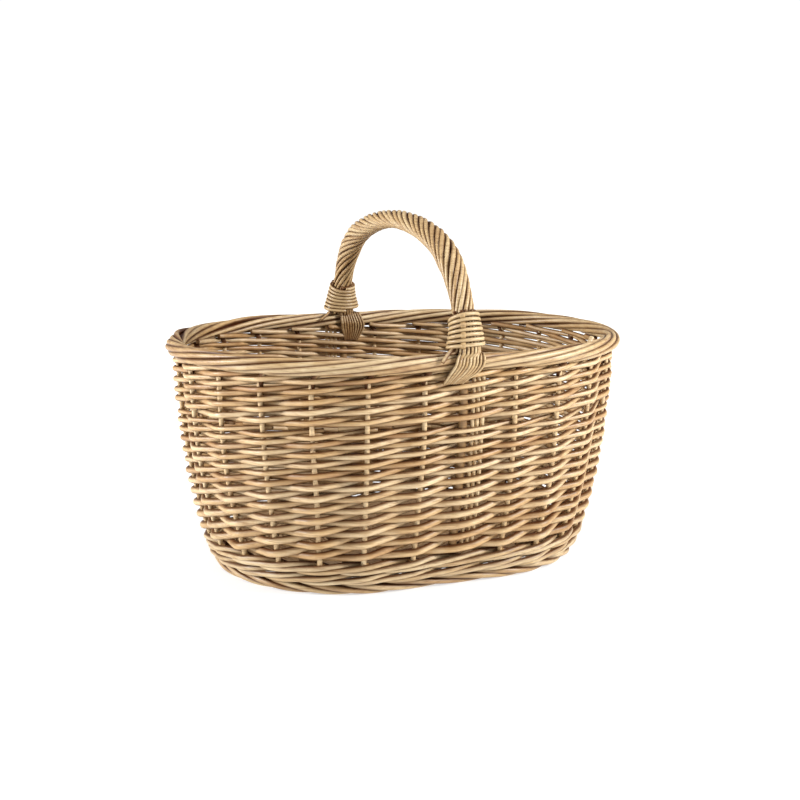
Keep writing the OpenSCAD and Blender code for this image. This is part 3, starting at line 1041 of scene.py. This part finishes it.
def short_stick(x):
    y = np.linspace(-STICK_REACH, STICK_REACH, 40)
    return np.stack((np.full(len(y), x), y, np.full(len(y), BASE_Z)), axis=-1)


def long_stick(k):
    """One of the long sticks, which lie side by side in the middle and fan out at the ends."""
    low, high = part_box("base_long_sticks")
    y = (low.y + (high.y - low.y) * k / (LONG_STICKS - 1)) * LONG_STICK_SPACING
    fan = math.pi * (k + 1) / (LONG_STICKS + 1) - math.pi / 2
    reach = STICK_REACH * np.array((math.cos(fan), math.sin(fan)))
    bend = LONG_STICK_BEND * reach
    half = ((END_X * 0.8, y), (END_X + bend[0], (y + bend[1]) / 2), (END_X + reach[0], reach[1]))
    left = [(-x, side, BASE_Z) for x, side in reversed(half)]
    right = [(x, side, BASE_Z) for x, side in half]
    return spline(left + [(0, y, BASE_Z)] + right)


def build_base_sticks():
    sheaf = Sheaf("base_sticks", 82)
    # The sticks are darkened by a little painted shade
    for x in np.linspace(-END_X, END_X, SHORT_STICKS):
        sheaf.rod(short_stick(x), SHORT_STICK_D, sides=12, painted_shade=0.2)
    for k in range(LONG_STICKS):
        sheaf.rod(long_stick(k), LONG_STICK_D, sides=12, painted_shade=0.2)
    return sheaf.make(BASE_WILLOW, "base", "base_long_sticks", "base_short_sticks")


def build_core_binding():
    """The tying-in rods wound over and under the crossed sticks."""
    sheaf = Sheaf("base_tying", 83)
    gap = 2 * END_X / (SHORT_STICKS - 1)
    for k in range(CORE_ROUNDS):
        ring = base_points(np.linspace(0, 4, 150), (k + 0.4) * CORE_HIGH.y / CORE_ROUNDS)
        for strand in range(2):
            wave = np.cos(math.pi * ((ring[:, 0] + END_X) / gap + strand + k))
            path = ring + np.outer(wave, (0, 0, CORE_LIFT))
            # A little painted shade over the tying rods
            sheaf.rod(path, CORE_ROD_D, sides=8, scars=False, painted_shade=0.25)
    return sheaf.make(BASE_WILLOW, "base", "base_core_binding")


def dress_foot_sticks():
    """The foot sticks keep their CAD shape."""
    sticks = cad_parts["foot_sticks"]
    sticks.data.materials.clear()
    sticks.data.materials.append(STAKE_WILLOW)


# ---- Stage, light and camera ----

FLOOR_HALF = 6.0
GLOW_FROM, GLOW_TO = 0.3, 1.2
GLOW_NEAR, GLOW_FAR = 0.62, 1.0
FILL_LIGHT = 0.36
WHITE_TO_THE_EYE = 1.05
CAMERA_YAW = math.radians(21.73)
CAMERA_PITCH = math.radians(10.66)
CAMERA_DISTANCE = 1.264
CAMERA_HEIGHT = 0.3916
CAMERA_LENS = 57.39
CAMERA_SHIFT = 0.0045


def build_stage():
    """A pale floor that glows to full white away from the basket."""
    mesh = bpy.data.meshes.new("floor")
    corners = [(x * FLOOR_HALF, y * FLOOR_HALF, 0) for x, y in ((-1, -1), (1, -1), (1, 1), (-1, 1))]
    mesh.from_pydata(corners, [], [(0, 1, 2, 3)])
    floor = bpy.data.objects.new("floor", mesh)
    bpy.context.scene.collection.objects.link(floor)
    material = bpy.data.materials.new("floor_paper")
    n = Nodes(material)
    n.shader.inputs["Base Color"].default_value = (0.5, 0.5, 0.5, 1)
    n.shader.inputs["Roughness"].default_value = 0.9
    n.shader.inputs["Emission Color"].default_value = (1, 1, 1, 1)
    distance = n.new("VectorMath", operation="LENGTH")
    n.link(n.new("TexCoord").outputs["Object"], distance.inputs[0])
    glow = n.new("MapRange")
    glow.inputs["From Min"].default_value = GLOW_FROM
    glow.inputs["From Max"].default_value = GLOW_TO
    glow.inputs["To Min"].default_value = GLOW_NEAR
    glow.inputs["To Max"].default_value = GLOW_FAR
    n.link(distance.outputs["Value"], glow.inputs["Value"])
    n.link(glow.outputs[0], n.shader.inputs["Emission Strength"])
    mesh.materials.append(material)


def softbox(name, place, size, power):
    """A round soft light that faces the middle of the basket."""
    light = bpy.data.lights.new(name, "AREA")
    light.shape = "DISK"
    light.size = size
    light.energy = power
    lamp = bpy.data.objects.new(name, light)
    bpy.context.scene.collection.objects.link(lamp)
    lamp.location = place
    aim = Vector((0, 0, RIM_Z / 2)) - Vector(place)
    lamp.rotation_euler = aim.to_track_quat("-Z", "Y").to_euler()


def build_world():
    """White to the eye, and a low soft fill as a light."""
    world = bpy.data.worlds.new("studio")
    bpy.context.scene.world = world
    world.use_nodes = True
    tree = world.node_tree
    ray = tree.nodes.new("ShaderNodeLightPath")
    strength = tree.nodes.new("ShaderNodeMapRange")
    strength.inputs["To Min"].default_value = FILL_LIGHT
    strength.inputs["To Max"].default_value = WHITE_TO_THE_EYE
    tree.links.new(ray.outputs["Is Camera Ray"], strength.inputs["Value"])
    background = tree.nodes["Background"]
    background.inputs["Color"].default_value = (1, 1, 1, 1)
    tree.links.new(strength.outputs[0], background.inputs["Strength"])


def build_lights():
    softbox("key", (1.45, -1.25, 1.05), 0.45, 47)
    softbox("left", (-1.8, 0.35, 0.75), 0.5, 37)
    softbox("top", (0.2, -0.4, 2.1), 0.8, 12)


def build_camera():
    """Stands where the photograph was taken from."""
    data = bpy.data.cameras.new("camera")
    camera = bpy.data.objects.new("camera", data)
    bpy.context.scene.collection.objects.link(camera)
    x = -CAMERA_DISTANCE * math.sin(CAMERA_YAW)
    y = -CAMERA_DISTANCE * math.cos(CAMERA_YAW)
    camera.location = (x, y, CAMERA_HEIGHT)
    camera.rotation_euler = (math.pi / 2 - CAMERA_PITCH, 0, -CAMERA_YAW)
    data.sensor_width = 36
    data.lens = CAMERA_LENS
    data.shift_x = CAMERA_SHIFT
    bpy.context.scene.camera = camera
    bpy.context.scene.view_settings.view_transform = "Standard"


build_camera()
build_siding()
build_stakes()
build_liners()
build_wale()
build_rim()
build_foot()
build_handle()
build_base_weave()
build_base_sticks()
build_core_binding()
dress_foot_sticks()
build_stage()
build_world()
build_lights()
